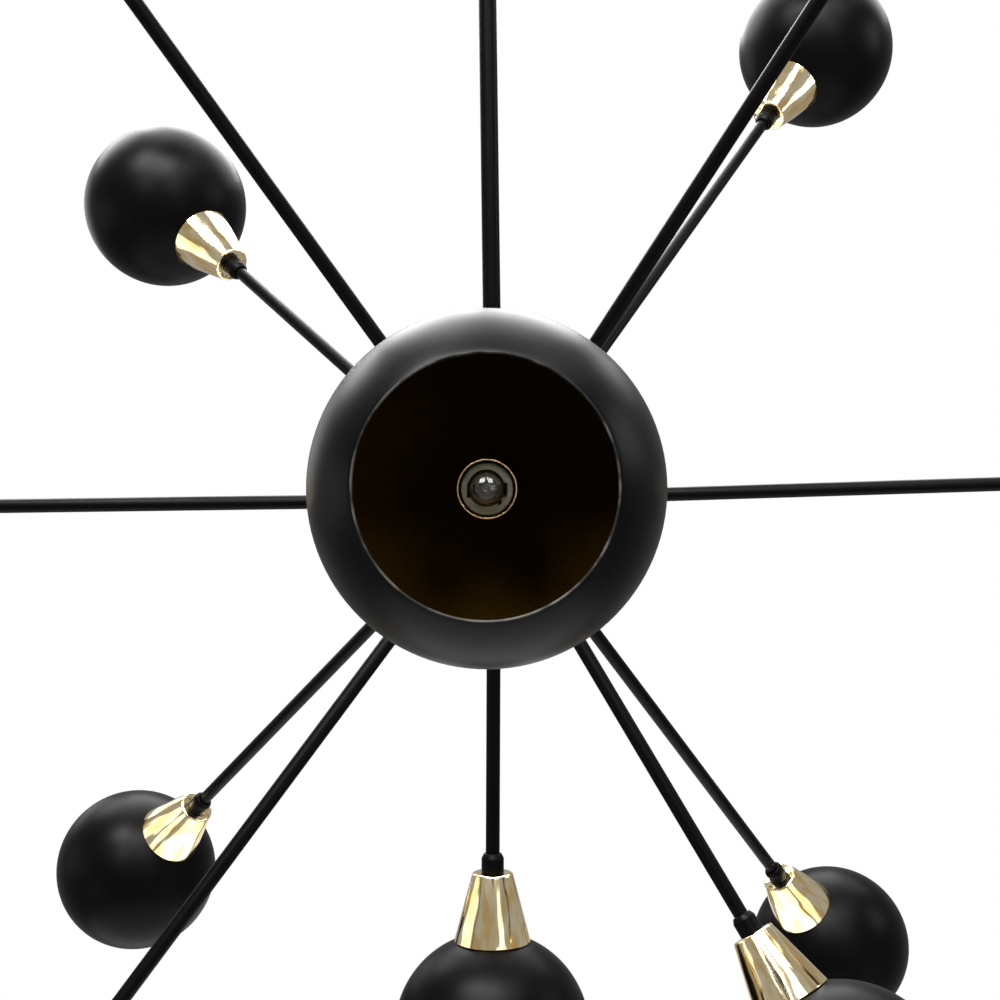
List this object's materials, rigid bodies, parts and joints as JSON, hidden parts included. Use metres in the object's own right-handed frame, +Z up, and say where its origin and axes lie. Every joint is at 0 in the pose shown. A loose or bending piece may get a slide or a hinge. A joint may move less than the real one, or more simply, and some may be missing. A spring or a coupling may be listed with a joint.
{
  "type": "multi arm chandelier",
  "caption": "Ceiling chandelier with open globe shades on tube arms that radiate from a ball hub, each with a brass cup and a capsule bulb, hung from a rigid stem.",
  "frame": {"origin": "centre of the bracket's top face, where it meets the ceiling, straight above the hub", "axes": "+Z up, out of the ceiling face; -Y is the front, where one shade faces the viewer; +X is to the viewer's right"},
  "size_m": [1.2115, 1.0174, 1.2932],
  "materials": {
    "black_powder_coat": "satin",
    "black_shade": "satin",
    "polished_brass": "polished",
    "bulb_glass": "gloss",
    "zinc_steel": "satin"
  },
  "bodies": {
    "ceiling": {"ceiling_bracket": "zinc_steel", "canopy": "black_powder_coat", "canopy_screw_left": "polished_brass", "canopy_screw_right": "polished_brass"},
    "knuckle": {"swivel_fork": "black_powder_coat", "swivel_pin": "zinc_steel"},
    "chandelier": {"swivel_eye": "black_powder_coat", "stem": "black_powder_coat", "hub_cap": "black_powder_coat", "hub_body": "black_powder_coat", "arm_front": "black_powder_coat", "cup_front": "polished_brass", "shade_front": "black_shade", "arm_left": "black_powder_coat", "cup_left": "polished_brass", "shade_left": "black_shade", "arm_right": "black_powder_coat", "cup_right": "polished_brass", "shade_right": "black_shade", "arm_bottom": "black_powder_coat", "cup_bottom": "polished_brass", "shade_bottom": "black_shade", "arm_upper_left_front": "black_powder_coat", "cup_upper_left_front": "polished_brass", "shade_upper_left_front": "black_shade", "arm_upper_right_front": "black_powder_coat", "cup_upper_right_front": "polished_brass", "shade_upper_right_front": "black_shade", "arm_lower_left_front": "black_powder_coat", "cup_lower_left_front": "polished_brass", "shade_lower_left_front": "black_shade", "arm_lower_right_front": "black_powder_coat", "cup_lower_right_front": "polished_brass", "shade_lower_right_front": "black_shade", "arm_upper_left_back": "black_powder_coat", "cup_upper_left_back": "polished_brass", "shade_upper_left_back": "black_shade", "arm_upper_right_back": "black_powder_coat", "cup_upper_right_back": "polished_brass", "shade_upper_right_back": "black_shade", "arm_lower_left_back": "black_powder_coat", "cup_lower_left_back": "polished_brass", "shade_lower_left_back": "black_shade", "arm_lower_right_back": "black_powder_coat", "cup_lower_right_back": "polished_brass", "shade_lower_right_back": "black_shade"},
    "bulb_front": {"bulb_front": "bulb_glass"},
    "bulb_left": {"bulb_left": "bulb_glass"},
    "bulb_right": {"bulb_right": "bulb_glass"},
    "bulb_bottom": {"bulb_bottom": "bulb_glass"},
    "bulb_upper_left_front": {"bulb_upper_left_front": "bulb_glass"},
    "bulb_upper_right_front": {"bulb_upper_right_front": "bulb_glass"},
    "bulb_lower_left_front": {"bulb_lower_left_front": "bulb_glass"},
    "bulb_lower_right_front": {"bulb_lower_right_front": "bulb_glass"},
    "bulb_upper_left_back": {"bulb_upper_left_back": "bulb_glass"},
    "bulb_upper_right_back": {"bulb_upper_right_back": "bulb_glass"},
    "bulb_lower_left_back": {"bulb_lower_left_back": "bulb_glass"},
    "bulb_lower_right_back": {"bulb_lower_right_back": "bulb_glass"}
  },
  "joints": [
    {"name": "knuckle_turn", "type": "hinge", "parent": "ceiling", "child": "knuckle", "pos_m": [0, 0, -0.01], "axis": [0, 0, 1], "range_deg": [-170, 170]},
    {"name": "stem_tilt", "type": "hinge", "parent": "knuckle", "child": "chandelier", "pos_m": [0, 0, -0.046], "axis": [1, 0, 0], "range_deg": [-20, 20]},
    {"name": "bulb_pull_front", "type": "slide", "parent": "chandelier", "child": "bulb_front", "axis": [0, -1, 0.0087], "range_m": [0, 0.02]},
    {"name": "bulb_pull_left", "type": "slide", "parent": "chandelier", "child": "bulb_left", "axis": [-1, 0, 0], "range_m": [0, 0.02]},
    {"name": "bulb_pull_right", "type": "slide", "parent": "chandelier", "child": "bulb_right", "axis": [0.9998, 0, 0.0175], "range_m": [0, 0.02]},
    {"name": "bulb_pull_bottom", "type": "slide", "parent": "chandelier", "child": "bulb_bottom", "axis": [-0.0175, 0, -0.9998], "range_m": [0, 0.02]},
    {"name": "bulb_pull_upper_left_front", "type": "slide", "parent": "chandelier", "child": "bulb_upper_left_front", "axis": [-0.5302, -0.3796, 0.7581], "range_m": [0, 0.02]},
    {"name": "bulb_pull_upper_right_front", "type": "slide", "parent": "chandelier", "child": "bulb_upper_right_front", "axis": [0.5053, -0.4225, 0.7524], "range_m": [0, 0.02]},
    {"name": "bulb_pull_lower_left_front", "type": "slide", "parent": "chandelier", "child": "bulb_lower_left_front", "axis": [-0.5776, -0.3084, -0.7559], "range_m": [0, 0.02]},
    {"name": "bulb_pull_lower_right_front", "type": "slide", "parent": "chandelier", "child": "bulb_lower_right_front", "axis": [0.4853, -0.2473, -0.8387], "range_m": [0, 0.02]},
    {"name": "bulb_pull_upper_left_back", "type": "slide", "parent": "chandelier", "child": "bulb_upper_left_back", "axis": [-0.5999, 0.5834, 0.5476], "range_m": [0, 0.02]},
    {"name": "bulb_pull_upper_right_back", "type": "slide", "parent": "chandelier", "child": "bulb_upper_right_back", "axis": [0.4832, 0.5738, 0.6613], "range_m": [0, 0.02]},
    {"name": "bulb_pull_lower_left_back", "type": "slide", "parent": "chandelier", "child": "bulb_lower_left_back", "axis": [-0.5868, 0.5569, -0.5878], "range_m": [0, 0.02]},
    {"name": "bulb_pull_lower_right_back", "type": "slide", "parent": "chandelier", "child": "bulb_lower_right_back", "axis": [0.4935, 0.5462, -0.6769], "range_m": [0, 0.02]}
  ]
}
